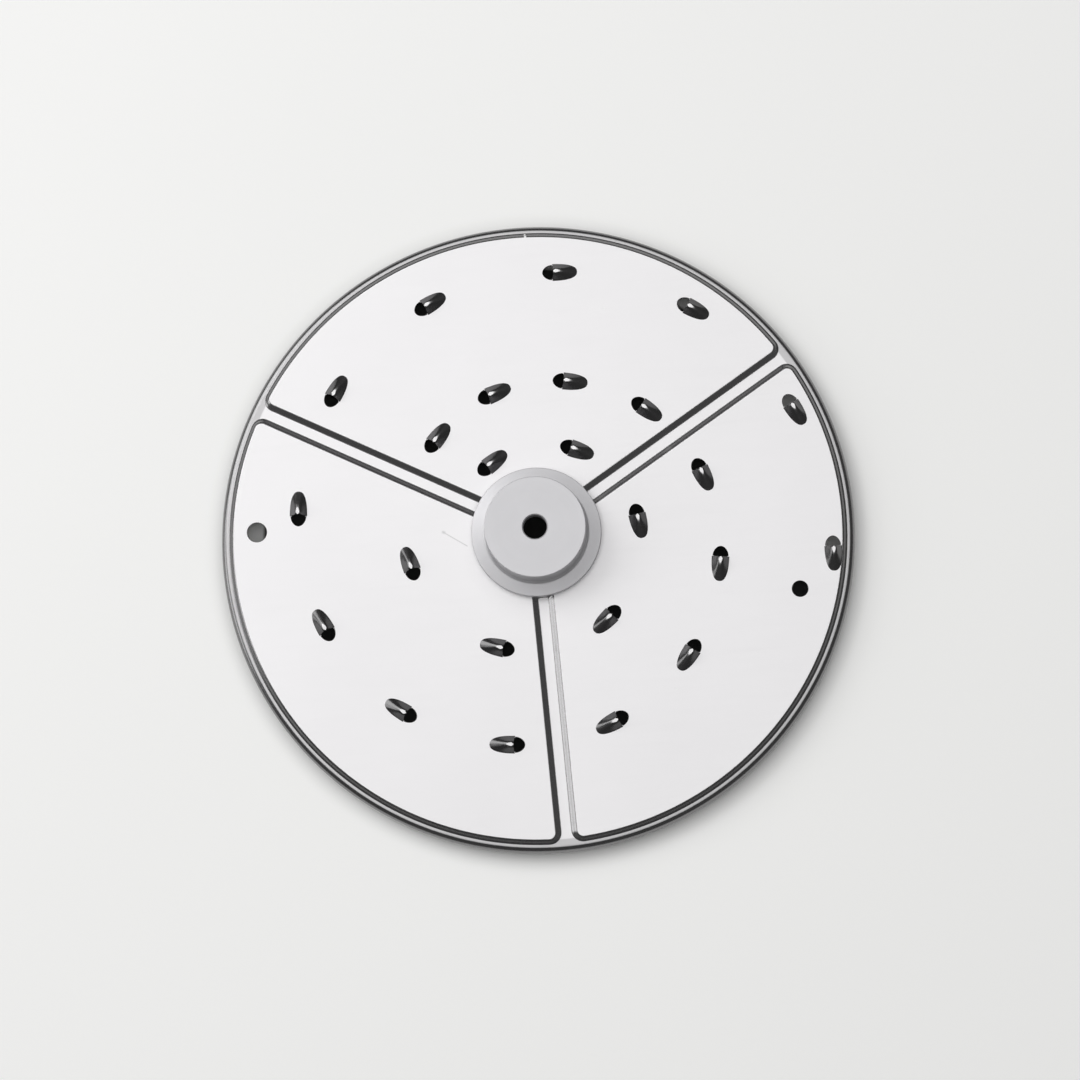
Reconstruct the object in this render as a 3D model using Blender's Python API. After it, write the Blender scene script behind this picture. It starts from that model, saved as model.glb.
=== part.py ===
"""Grating disc for a vegetable-cutting machine.

A pressed stainless plate carries 24 drawn and pierced grating teeth on one spiral.
A turned hub stands on the plate, and a ring below the plate is screwed to the hub.

Units are metres and +Z is up. The origin lies on the disc's axis, at the level that
the clamp ring stands on. One groove of the plate runs along -Y.
"""

import math

import bmesh
import bpy

MM = 0.001

# Sheet
DISC_RADIUS = 92.5 * MM
SHEET = 1.0 * MM
RIM_DEPTH = 5.0 * MM
RIM_BEND = 2.0 * MM
RIM_BAND = 4.0 * MM

# Pressed panels: the grooves and the rim band lie lower than the three panels
PANELS = 3
GROOVE_ANGLE = -90.0
PRESS_DEPTH = 1.2 * MM
GROOVE_RUN = 2.2 * MM
RIM_RUN = 1.6 * MM
GROOVE_WIDTH = 6.8 * MM
PANEL_CORNER = 1.6 * MM
GROOVE_COVER = 1.9 * MM

# Teeth on the spiral
TEETH = 24
CLOSE_TEETH = 18
FIRST_TOOTH_INSET = 6.3 * MM
LAST_TOOTH_CLEARANCE = 5.6 * MM
FIRST_TOOTH_ANGLE = -9.9
TOOTH_STEP = 29.8
STEP_LOSS = 0.049
WIDE_STEP = 57.7
TOOTH_LEAD = 6.5
TOOTH_TAIL = 7.5 * MM
TOOTH_NOSE = 2.9 * MM
TOOTH_WIDTH = 5.2 * MM
TOOTH_HEIGHT = 2.2 * MM
TOOTH_WALL = 0.55 * MM
MOUTH_LEAD = 0.1 * MM
ROOT_COVER = 0.1 * MM
CREST_LENGTH = 0.27
CREST_WIDTH = 0.22
LIP_RAKE = 8.0
TAIL_FULLNESS = 2.5
NOSE_FULLNESS = 1.8

# Round holes near the rim: inset from the edge, angle, diameter
LARGE_HOLE_INSET = 10.7 * MM
LARGE_HOLE_ANGLE = 173.9
LARGE_HOLE_DIAMETER = 5.7 * MM
SMALL_HOLE_INSET = 14.5 * MM
SMALL_HOLE_ANGLE = 342.0
SMALL_HOLE_DIAMETER = 4.8 * MM

# Hub above the plate
DRUM_RADIUS = 14.6 * MM
DRUM_HEIGHT = 9.4 * MM
FLANGE_STEP = 4.3 * MM
FLANGE_EDGE = 2.2 * MM
SHOULDER_RISE = 0.4 * MM
HUB_EDGE = 0.5 * MM
SHOULDER_FILLET = 1.2 * MM
TOP_HOLE_DIAMETER = 6.9 * MM
TOP_HOLE_CHAMFER = 0.3 * MM

# Stem, shaft socket and drive slot
STEM_RADIUS = 8.0 * MM
STEM_RECESS = 0.5 * MM
STEM_WALL = 1.8 * MM
SOCKET_ROOF = 4.0 * MM
SLOT_WIDTH = 4.6 * MM
SLOT_DEPTH = 3.5 * MM

# Clamp ring and its screws
RING_INSET = 1.1 * MM
RING_HEIGHT = 6.5 * MM
RING_EDGE = 0.5 * MM
SCREWS = 3
SCREW_ANGLE = -30.0
SCREW_MARGIN = 0.75 * MM
SCREW_LAND = 0.3 * MM
SCREW_SINK = 0.2 * MM
SCREW_GRIP = 5.5 * MM
HEAD_TO_SHANK = 1.83
POINT_TO_SHANK = 0.17
KEY_TO_SHANK = 0.67
KEY_DEPTH = 1.1 * MM

# Fits
SEAT_GAP = 0.3 * MM
RUN_CLEARANCE = 0.3 * MM
CUT_MARGIN = 1.0 * MM

# Smoothness of the curves
RIM_SEGMENTS = 88
HUB_SEGMENTS = 48
SCREW_SEGMENTS = 16
HOLE_SEGMENTS = 20
PANEL_ARC_SEGMENTS = 24
CORNER_SEGMENTS = 4
GROOVE_END_SEGMENTS = 5
WALL_STEPS = 3
BEND_STEPS = 2
EDGE_STEPS = 2
FILLET_STEPS = 3
TAIL_SEGMENTS = 8
NOSE_SEGMENTS = 6
HOOD_STEPS = 4
MOUTH_STEPS = 3
KEY_SIDES = 6

# Levels, all worked out from the sizes above
PANEL_UNDERSIDE = RING_HEIGHT + SEAT_GAP
PANEL_TOP = PANEL_UNDERSIDE + SHEET
GROOVE_TOP = PANEL_TOP - PRESS_DEPTH
GROOVE_UNDERSIDE = GROOVE_TOP - SHEET
RIM_FOOT = GROOVE_TOP - RIM_DEPTH
HUB_SEAT = PANEL_TOP + SEAT_GAP
FLANGE_TOP = HUB_SEAT + FLANGE_EDGE
SHOULDER_TOP = FLANGE_TOP + SHOULDER_RISE
HUB_TOP = SHOULDER_TOP + DRUM_HEIGHT
SOCKET_TOP = HUB_TOP - SOCKET_ROOF

PANEL_RADIUS = DISC_RADIUS - RIM_BAND
GROOVE_HALF = GROOVE_WIDTH / 2
FLANGE_RADIUS = DRUM_RADIUS + FLANGE_STEP
GROOVE_START = FLANGE_RADIUS - GROOVE_COVER
SOCKET_RADIUS = STEM_RADIUS - STEM_WALL
STEM_BORE = STEM_RADIUS + RUN_CLEARANCE
RING_RADIUS = GROOVE_START - RING_INSET
RING_WIDTH = RING_RADIUS - STEM_BORE

# The screws fill the ring's width but for a margin, and have 90 degree heads
SCREW_CIRCLE = STEM_BORE + RING_WIDTH / 2
SCREW_HEAD = RING_WIDTH - 2 * (SCREW_MARGIN + RUN_CLEARANCE)
SCREW_SHANK = SCREW_HEAD / HEAD_TO_SHANK
SCREW_HEAD_HEIGHT = (SCREW_HEAD - SCREW_SHANK) / 2
SCREW_POINT = POINT_TO_SHANK * SCREW_SHANK
KEY_WIDTH = KEY_TO_SHANK * SCREW_SHANK
COUNTERSINK = SCREW_SINK + SCREW_LAND


def clear_scene():
    """Remove every object of the start-up scene."""
    for old in list(bpy.data.objects):
        bpy.data.objects.remove(old, do_unlink=True)


def make_material(name, colour, metallic, roughness):
    """Return a Principled material."""
    material = bpy.data.materials.new(name)
    material.use_nodes = True
    shader = material.node_tree.nodes["Principled BSDF"]
    shader.inputs["Base Color"].default_value = (*colour, 1.0)
    shader.inputs["Metallic"].default_value = metallic
    shader.inputs["Roughness"].default_value = roughness
    return material


def polar(radius, degrees):
    """Return the point at a radius and an angle from +X."""
    angle = math.radians(degrees)
    return radius * math.cos(angle), radius * math.sin(angle)


def add_object(name, bm, material=None, sharp_angle=32.0):
    """Turn a bmesh into an object, shaded smooth with its hard edges kept."""
    bmesh.ops.recalc_face_normals(bm, faces=bm.faces)
    mesh = bpy.data.meshes.new(name)
    bm.to_mesh(mesh)
    bm.free()
    mesh.shade_smooth()
    mesh.set_sharp_from_angle(angle=math.radians(sharp_angle))
    if material:
        mesh.materials.append(material)
    part = bpy.data.objects.new(name, mesh)
    bpy.context.scene.collection.objects.link(part)
    return part


def add_loft(bm, rings):
    """Skin a stack of closed rings of (x, y, z) points, lowest first, and cap both ends.

    A top ring of one point closes the skin to that point.
    """
    layers = [[bm.verts.new(point) for point in ring] for ring in rings]
    bm.faces.new(layers[0])
    for low, high in zip(layers, layers[1:]):
        count = len(low)
        for i in range(count):
            j = (i + 1) % count
            if len(high) == 1:
                bm.faces.new((low[i], low[j], high[0]))
            else:
                bm.faces.new((low[i], low[j], high[j], high[i]))
    if len(layers[-1]) > 1:
        bm.faces.new(layers[-1])


def add_revolve(bm, profile, segments):
    """Turn a closed profile of (radius, z) points round the axis."""
    layers = []
    for step in range(segments):
        turn = 2 * math.pi * step / segments
        layers.append([bm.verts.new((r * math.cos(turn), r * math.sin(turn), z)) for r, z in profile])
    for step in range(segments):
        here, after = layers[step], layers[(step + 1) % segments]
        for i in range(len(profile)):
            j = (i + 1) % len(profile)
            bm.faces.new((here[i], here[j], after[j], after[i]))


def add_cylinder(bm, centre, radii, levels, segments):
    """Add a round stack with one radius for each level, capped at both ends."""
    rings = []
    for radius, level in zip(radii, levels):
        ring = []
        for step in range(segments):
            x, y = polar(radius, 360.0 * step / segments)
            ring.append((centre[0] + x, centre[1] + y, level))
        rings.append(ring)
    add_loft(bm, rings)


def arc(centre, radius, start, end, steps):
    """Return points on an arc, both ends included, from start to end in degrees."""
    points = []
    for step in range(steps + 1):
        x, y = polar(radius, start + (end - start) * step / steps)
        points.append((centre[0] + x, centre[1] + y))
    return points


def cut_or_join(part, tool, operation):
    """Boolean a tool into a part, and keep the tool as a guide that isn't rendered."""
    tool.hide_render = True
    tool.display_type = "WIRE"
    boolean = part.modifiers.new(tool.name, "BOOLEAN")
    boolean.operation = operation
    boolean.object = tool
    boolean.solver = "EXACT"


def raised_outline(groove_offset, rim_offset):
    """Return the outline of the raised panels, grown into the grooves and the rim band.

    The three panels are one region, notched by the grooves. A fillet rounds each
    corner between a groove and the rim band, and each groove ends in a half circle
    under the hub's flange.
    """
    half = GROOVE_HALF - groove_offset
    radius = PANEL_RADIUS + rim_offset
    corner = PANEL_CORNER + (groove_offset + rim_offset) / 2
    side = half + corner
    along = math.sqrt((radius - corner) ** 2 - side ** 2)
    lean = math.degrees(math.atan2(side, along))
    fillet_distance = math.hypot(side, along)
    spacing = 360.0 / PANELS
    points = []
    for groove in range(PANELS):
        heading = GROOVE_ANGLE + groove * spacing
        right = polar(fillet_distance, heading - lean)
        left = polar(fillet_distance, heading + lean)
        end = polar(GROOVE_START + GROOVE_HALF, heading)
        points += arc(right, corner, heading - lean, heading + 90.0, CORNER_SEGMENTS)
        points += arc(end, half, heading - 90.0, heading - 270.0, GROOVE_END_SEGMENTS)
        points += arc(left, corner, heading - 90.0, heading + lean, CORNER_SEGMENTS)
        rim = arc((0.0, 0.0), radius, heading + lean, heading + spacing - lean, PANEL_ARC_SEGMENTS)
        points += rim[1:-1]
    return points


def wall_offset(run, share, thickness):
    """Return how far a pressed wall has run out, at a share of its depth from the panel.

    A thickness moves the wall in, to where its sheet's other face lies.
    """
    lean = math.atan(PRESS_DEPTH / run)
    return run * share - thickness * math.tan(lean / 2)


def pressed_wall(thickness, reach):
    """Return the rings of the pressed form, lowest first.

    The wall eases from the panel into the groove. A thickness gives the form of the
    sheet's lower face, and reach carries the form on below the groove's level.
    """
    rows = [(1 + reach / PRESS_DEPTH, GROOVE_TOP - thickness - reach)]
    for step in range(WALL_STEPS, -1, -1):
        share = step / WALL_STEPS
        ease = share * share * (3 - 2 * share)
        rows.append((share, PANEL_TOP - thickness - PRESS_DEPTH * ease))
    rings = []
    for share, level in rows:
        groove_offset = wall_offset(GROOVE_RUN, share, thickness)
        rim_offset = wall_offset(RIM_RUN, share, thickness)
        rings.append([(x, y, level) for x, y in raised_outline(groove_offset, rim_offset)])
    return rings


def add_pan():
    """Add the sheet at the level of the grooves, with its rim turned down."""
    inner = DISC_RADIUS - SHEET
    bend_centre = (DISC_RADIUS - RIM_BEND, GROOVE_TOP - RIM_BEND)
    start = STEM_BORE / 2
    profile = [(start, GROOVE_UNDERSIDE), (start, GROOVE_TOP)]
    profile += arc(bend_centre, RIM_BEND, 90.0, 0.0, BEND_STEPS)
    profile += [(DISC_RADIUS, RIM_FOOT), (inner, RIM_FOOT)]
    profile += arc(bend_centre, RIM_BEND - SHEET, 0.0, 90.0, BEND_STEPS)
    bm = bmesh.new()
    add_revolve(bm, profile, RIM_SEGMENTS)
    return add_object("grating_plate", bm, make_material("stainless_sheet", (0.82, 0.82, 0.83), 1.0, 0.28))


def add_pressed_form(name, thickness):
    """Add the raised panels as one solid, from below the grooves to the panels' level."""
    bm = bmesh.new()
    add_loft(bm, pressed_wall(thickness, SHEET / 2))
    return add_object(name, bm)


def superellipse(length, half_width, fullness, start, end, steps):
    """Return points of a superellipse quarter pair, from start to end in degrees."""
    points = []
    for step in range(steps + 1):
        angle = math.radians(start + (end - start) * step / steps)
        c, s = math.cos(angle), math.sin(angle)
        u = length * math.copysign(abs(c) ** (2 / fullness), c)
        v = half_width * math.copysign(abs(s) ** (2 / fullness), s)
        points.append((u, v))
    return points


def tooth_places():
    """Yield each tooth's centre and heading, from the rim inwards along the spiral.

    The close teeth are about a twelfth of a turn apart, and the last ones take every
    second place. The mouth faces the heading.
    """
    first = DISC_RADIUS - FIRST_TOOTH_INSET
    last = FLANGE_RADIUS + LAST_TOOTH_CLEARANCE
    angle = FIRST_TOOTH_ANGLE
    for tooth in range(TEETH):
        radius = first + (last - first) * tooth / (TEETH - 1)
        yield polar(radius, angle), angle + 90.0 + TOOTH_LEAD
        angle += TOOTH_STEP - STEP_LOSS * tooth if tooth < CLOSE_TEETH - 1 else WIDE_STEP


def place_ring(ring, level, centre, heading):
    """Move a ring of (u, v) points from a tooth's own frame to the plate.

    The lip lies ahead of the tooth's middle, and what stands above the panel is
    raked back from the mouth.
    """
    c, s = math.cos(math.radians(heading)), math.sin(math.radians(heading))
    shift = (TOOTH_TAIL - TOOTH_NOSE) / 2
    rake = max(level - PANEL_TOP, 0.0) * math.tan(math.radians(LIP_RAKE))
    points = []
    for u, v in ring:
        u += shift - rake
        points.append((centre[0] + u * c - v * s, centre[1] + u * s + v * c, level))
    return points


def dome_rings(outline, foot, top, steps, centre, heading):
    """Return rings for a dome over an outline, closing to its crest at the widest section.

    From the outline the dome rises on straight flanks, which curve over into a level
    crest.
    """
    rings = [place_ring(outline, foot, centre, heading)]
    for step in range(steps):
        share = step / steps
        outer, bend = (1 - share) ** 2, 2 * share * (1 - share)
        along = outer + bend * CREST_LENGTH
        across = outer + bend * CREST_WIDTH
        level = PANEL_TOP + (top - PANEL_TOP) * (1 - outer)
        rings.append(place_ring([(u * along, v * across) for u, v in outline], level, centre, heading))
    rings.append(place_ring([(0.0, 0.0)], top, centre, heading))
    return rings


def add_tooth_hoods():
    """Add the drawn hoods, each a half dome cut off square at its lip."""
    half = TOOTH_WIDTH / 2
    outline = superellipse(TOOTH_TAIL, half, TAIL_FULLNESS, 90.0, 270.0, TAIL_SEGMENTS)
    bm = bmesh.new()
    for centre, heading in tooth_places():
        foot = PANEL_UNDERSIDE + ROOT_COVER
        top = PANEL_TOP + TOOTH_HEIGHT
        add_loft(bm, dome_rings(outline, foot, top, HOOD_STEPS, centre, heading))
    return add_object("tooth_hoods", bm)


def add_tooth_mouths():
    """Add what is pierced and drawn out of each tooth: its mouth and the hollow of its hood."""
    half = TOOTH_WIDTH / 2 - TOOTH_WALL
    outline = superellipse(TOOTH_TAIL - TOOTH_WALL, half, TAIL_FULLNESS, 90.0, 270.0, TAIL_SEGMENTS)
    outline += superellipse(TOOTH_NOSE, half, NOSE_FULLNESS, -90.0, 90.0, NOSE_SEGMENTS)[1:-1]
    bm = bmesh.new()
    for centre, heading in tooth_places():
        foot = GROOVE_UNDERSIDE - CUT_MARGIN
        top = PANEL_TOP + TOOTH_HEIGHT - TOOTH_WALL
        x, y = polar(MOUTH_LEAD, heading)
        ahead = (centre[0] + x, centre[1] + y)
        add_loft(bm, dome_rings(outline, foot, top, MOUTH_STEPS, ahead, heading))
    return add_object("tooth_mouths", bm)


def screw_places():
    """Return the centres of the hub screws."""
    return [polar(SCREW_CIRCLE, SCREW_ANGLE + 360.0 * i / SCREWS) for i in range(SCREWS)]


def add_plate_holes():
    """Add the plate's bore, its screw holes and the two round holes near the rim."""
    levels = (GROOVE_UNDERSIDE - CUT_MARGIN, PANEL_TOP + CUT_MARGIN)
    bm = bmesh.new()
    add_cylinder(bm, (0.0, 0.0), (STEM_BORE, STEM_BORE), levels, HUB_SEGMENTS)
    shank = SCREW_SHANK / 2 + RUN_CLEARANCE
    for centre in screw_places():
        add_cylinder(bm, centre, (shank, shank), levels, SCREW_SEGMENTS)
    holes = (
        (DISC_RADIUS - LARGE_HOLE_INSET, LARGE_HOLE_ANGLE, LARGE_HOLE_DIAMETER / 2),
        (DISC_RADIUS - SMALL_HOLE_INSET, SMALL_HOLE_ANGLE, SMALL_HOLE_DIAMETER / 2),
    )
    for distance, angle, radius in holes:
        add_cylinder(bm, polar(distance, angle), (radius, radius), levels, HOLE_SEGMENTS)
    return add_object("plate_holes", bm)


def build_grating_plate():
    """Build the pressed sheet: pan, panels, hollows below them, teeth and holes."""
    plate = add_pan()
    cut_or_join(plate, add_pressed_form("raised_panels", 0.0), "UNION")
    cut_or_join(plate, add_pressed_form("panel_hollows", SHEET), "DIFFERENCE")
    cut_or_join(plate, add_tooth_hoods(), "UNION")
    cut_or_join(plate, add_tooth_mouths(), "DIFFERENCE")
    cut_or_join(plate, add_plate_holes(), "DIFFERENCE")
    return plate


def hub_profile():
    """Return the hub's section: drum, shoulder, flange, stem and shaft socket."""
    hole = TOP_HOLE_DIAMETER / 2
    slope = math.degrees(math.atan2(SHOULDER_RISE, FLANGE_RADIUS - DRUM_RADIUS - SHOULDER_FILLET))
    fillet_centre = (DRUM_RADIUS + SHOULDER_FILLET, SHOULDER_TOP + SHOULDER_FILLET)
    profile = [(hole, SOCKET_TOP), (hole, HUB_TOP - TOP_HOLE_CHAMFER), (hole + TOP_HOLE_CHAMFER, HUB_TOP)]
    profile += arc((DRUM_RADIUS - HUB_EDGE, HUB_TOP - HUB_EDGE), HUB_EDGE, 90.0, 0.0, EDGE_STEPS)
    profile += arc(fillet_centre, SHOULDER_FILLET, 180.0, 270.0 - slope, FILLET_STEPS)
    profile += arc((FLANGE_RADIUS - HUB_EDGE, FLANGE_TOP - HUB_EDGE), HUB_EDGE, 90.0 - slope, 0.0, EDGE_STEPS)
    profile += [(FLANGE_RADIUS, HUB_SEAT), (STEM_RADIUS, HUB_SEAT)]
    profile += [(STEM_RADIUS, STEM_RECESS), (SOCKET_RADIUS, STEM_RECESS), (SOCKET_RADIUS, SOCKET_TOP)]
    return profile


def add_drive_slot(name):
    """Add the bar that cuts the drive slot across the stem and the clamp ring."""
    length = RING_RADIUS + CUT_MARGIN
    half = SLOT_WIDTH / 2
    corners = [(-length, -half), (length, -half), (length, half), (-length, half)]
    bm = bmesh.new()
    add_loft(bm, [[(x, y, level) for x, y in corners] for level in (-CUT_MARGIN, SLOT_DEPTH)])
    return add_object(name, bm)


def build_hub():
    """Build the turned hub, with its tapped holes and the drive slot."""
    bm = bmesh.new()
    add_revolve(bm, hub_profile(), HUB_SEGMENTS)
    hub = add_object("hub", bm, make_material("satin_aluminium", (0.68, 0.68, 0.70), 1.0, 0.45))
    tapped = SCREW_SHANK / 2 + RUN_CLEARANCE
    levels = (HUB_SEAT - CUT_MARGIN, HUB_SEAT + SCREW_GRIP + CUT_MARGIN)
    bm = bmesh.new()
    for centre in screw_places():
        add_cylinder(bm, centre, (tapped, tapped), levels, SCREW_SEGMENTS)
    cut_or_join(hub, add_object("tapped_holes", bm), "DIFFERENCE")
    cut_or_join(hub, add_drive_slot("stem_slot"), "DIFFERENCE")
    return hub


def build_clamp_ring():
    """Build the ring below the plate, with countersunk holes and the drive slot."""
    profile = [
        (STEM_BORE, RING_HEIGHT),
        (RING_RADIUS - RING_EDGE, RING_HEIGHT),
        (RING_RADIUS, RING_HEIGHT - RING_EDGE),
        (RING_RADIUS, RING_EDGE),
        (RING_RADIUS - RING_EDGE, 0.0),
        (STEM_BORE, 0.0),
    ]
    bm = bmesh.new()
    add_revolve(bm, profile, HUB_SEGMENTS)
    ring = add_object("clamp_ring", bm, make_material("turned_aluminium", (0.62, 0.62, 0.64), 1.0, 0.4))
    shank = SCREW_SHANK / 2 + RUN_CLEARANCE
    head = SCREW_HEAD / 2 + RUN_CLEARANCE
    levels = (-CUT_MARGIN, COUNTERSINK, COUNTERSINK + SCREW_HEAD_HEIGHT, RING_HEIGHT + CUT_MARGIN)
    bm = bmesh.new()
    for centre in screw_places():
        add_cylinder(bm, centre, (head, head, shank, shank), levels, SCREW_SEGMENTS)
    cut_or_join(ring, add_object("countersinks", bm), "DIFFERENCE")
    cut_or_join(ring, add_drive_slot("ring_slot"), "DIFFERENCE")
    return ring


def build_hub_screws():
    """Build the countersunk screws, which point up from the clamp ring into the hub."""
    material = make_material("screw_steel", (0.6, 0.6, 0.6), 1.0, 0.35)
    shank = SCREW_SHANK / 2
    head = SCREW_HEAD / 2
    tip = HUB_SEAT + SCREW_GRIP
    radii = (head, head, shank, shank, shank - SCREW_POINT)
    levels = (SCREW_SINK, COUNTERSINK, COUNTERSINK + SCREW_HEAD_HEIGHT, tip - SCREW_POINT, tip)
    key = KEY_WIDTH / math.sqrt(3)
    for number, centre in enumerate(screw_places(), start=1):
        bm = bmesh.new()
        add_cylinder(bm, (0.0, 0.0), radii, levels, SCREW_SEGMENTS)
        screw = add_object(f"hub_screw_{number}", bm, material)
        screw.location = (*centre, 0.0)
        bm = bmesh.new()
        add_cylinder(bm, (0.0, 0.0), (key, key), (-CUT_MARGIN, SCREW_SINK + KEY_DEPTH), KEY_SIDES)
        key_hole = add_object(f"key_hole_{number}", bm)
        key_hole.parent = screw
        cut_or_join(screw, key_hole, "DIFFERENCE")


def build_all():
    """Build every piece of the disc."""
    clear_scene()
    build_grating_plate()
    build_hub()
    build_clamp_ring()
    build_hub_screws()


build_all()
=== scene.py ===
"""Looks of the grating disc: its pressed steel plate, turned hub, clamp ring and screws.

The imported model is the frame, in metres with +Z up. The disc's axis is the Z axis, and
one groove of the plate runs along -Y.
"""

import logging
import math
from collections.abc import Iterable
from dataclasses import dataclass
from enum import Enum

import bmesh
import bpy
from mathutils import Matrix, Vector


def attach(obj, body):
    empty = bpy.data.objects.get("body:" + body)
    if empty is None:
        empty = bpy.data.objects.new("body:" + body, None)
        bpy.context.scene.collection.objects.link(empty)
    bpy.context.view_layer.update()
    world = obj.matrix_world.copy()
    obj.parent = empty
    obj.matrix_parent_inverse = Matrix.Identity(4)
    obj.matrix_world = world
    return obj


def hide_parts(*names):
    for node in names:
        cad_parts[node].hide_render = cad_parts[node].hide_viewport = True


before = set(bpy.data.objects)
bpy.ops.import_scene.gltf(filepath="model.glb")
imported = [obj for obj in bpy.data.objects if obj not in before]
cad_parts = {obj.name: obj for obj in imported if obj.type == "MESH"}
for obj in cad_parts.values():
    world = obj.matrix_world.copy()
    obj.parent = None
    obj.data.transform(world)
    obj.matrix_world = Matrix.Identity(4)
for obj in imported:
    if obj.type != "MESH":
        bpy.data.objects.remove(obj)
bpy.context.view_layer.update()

MM = 0.001
BODY = "root"

log = logging.getLogger("grating_disc")

Point = tuple[float, float]
Ring = list[tuple[float, float, float]]
Colour = tuple[float, float, float]
Piece = bpy.types.Object
Material = bpy.types.Material
Socket = bpy.types.NodeSocket


class Grain(Enum):
    """How the marks of making lie on a metal surface."""

    ROLLED = "rolled"
    TURNED = "turned"
    CAST = "cast"


class Cut(Enum):
    """How a tool shape changes a piece."""

    JOIN = "UNION"
    REMOVE = "DIFFERENCE"


def polar(radius: float, degrees: float) -> Point:
    """Return the point at a radius and an angle from +X."""
    angle = math.radians(degrees)
    return radius * math.cos(angle), radius * math.sin(angle)


def ring(radius: float, level: float, segments: int, centre: Point = (0.0, 0.0)) -> Ring:
    """Return a level circle of points round a centre."""
    points = [polar(radius, 360.0 * step / segments) for step in range(segments)]
    return [(centre[0] + x, centre[1] + y, level) for x, y in points]


def superellipse(length: float, half: float, fullness: float, start: float, end: float,
                 steps: int) -> list[Point]:
    """Return points on a superellipse.

    Args:
        length: Reach along the first axis.
        half: Reach along the second axis.
        fullness: Exponent, 2 for an ellipse and more for a blunter outline.
        start: First angle in degrees.
        end: Last angle in degrees.
        steps: Number of straight pieces.

    Returns:
        The points in order.
    """
    points = []
    for step in range(steps + 1):
        c, s = polar(1.0, start + (end - start) * step / steps)
        u = length * math.copysign(abs(c) ** (2 / fullness), c)
        v = half * math.copysign(abs(s) ** (2 / fullness), s)
        points.append((u, v))
    return points


def arc(centre: Point, radius: float, start: float, end: float, steps: int) -> list[Point]:
    """Return points on an arc between two angles in degrees, both ends included."""
    points = superellipse(radius, radius, 2.0, start, end, steps)
    return [(centre[0] + x, centre[1] + y) for x, y in points]


def rounded_path(corners: list[Vector], trims: list[float], steps: int) -> list[Vector]:
    """Return points along straight legs, with curves that take a share of both legs at a corner."""
    path = [corners[0]]
    for before, corner, after, trim in zip(corners, corners[1:], corners[2:], trims):
        start, end = corner.lerp(before, trim), corner.lerp(after, trim)
        for step in range(steps + 1):
            share = step / steps
            path.append(start.lerp(corner, share).lerp(corner.lerp(end, share), share))
    path.append(corners[-1])
    return path


def put(name: str, data: bpy.types.ID) -> Piece:
    """Add an object with its data to the scene."""
    part = bpy.data.objects.new(name, data)
    bpy.context.scene.collection.objects.link(part)
    return part


class MeshDraft:
    """A mesh under construction. Each step returns the draft, so that steps can follow on."""

    def __init__(self) -> None:
        """Start with no faces."""
        self.bm = bmesh.new()

    def bridge(self, low: list[bmesh.types.BMVert], high: list[bmesh.types.BMVert]) -> None:
        """Join a closed row of vertices with the next row, or with a single vertex."""
        for i in range(len(low)):
            j = (i + 1) % len(low)
            beyond = high if len(high) == 1 else (high[j], high[i])
            self.bm.faces.new((low[i], low[j], *beyond))

    def loft(self, rings: list[Ring]) -> "MeshDraft":
        """Skin a stack of closed rings, lowest first, and cap both ends.

        A last ring of one point closes the skin to that point.
        """
        layers = [[self.bm.verts.new(point) for point in points] for points in rings]
        self.bm.faces.new(layers[0])
        for low, high in zip(layers, layers[1:]):
            self.bridge(low, high)
        if len(layers[-1]) > 1:
            self.bm.faces.new(layers[-1])
        return self

    def revolve(self, profile: list[Point], segments: int) -> "MeshDraft":
        """Turn a closed profile of (radius, level) round the Z axis."""
        layers = []
        for step in range(segments):
            turn = 2 * math.pi * step / segments
            c, s = math.cos(turn), math.sin(turn)
            layers.append([self.bm.verts.new((r * c, r * s, z)) for r, z in profile])
        for here, after in zip(layers, layers[1:] + layers[:1]):
            self.bridge(here, after)
        return self

    def stack(self, centre: Point, radii: list[float], levels: list[float],
              segments: int) -> "MeshDraft":
        """Add a round solid with one radius for each level, lowest first."""
        return self.loft([ring(*size, segments, centre) for size in zip(radii, levels)])

    def block(self, half: Point, levels: Point) -> "MeshDraft":
        """Add a block round the Z axis, with half its length and width, between two levels."""
        x, y = half
        corners = [(-x, -y), (x, -y), (x, y), (-x, y)]
        return self.loft([[(*corner, level) for corner in corners] for level in levels])

    def finish(self, name: str) -> Piece:
        """Return the mesh as an object at the origin, with its faces pointing out."""
        bmesh.ops.recalc_face_normals(self.bm, faces=self.bm.faces)
        mesh = bpy.data.meshes.new(name)
        self.bm.to_mesh(mesh)
        self.bm.free()
        return put(name, mesh)


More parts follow.
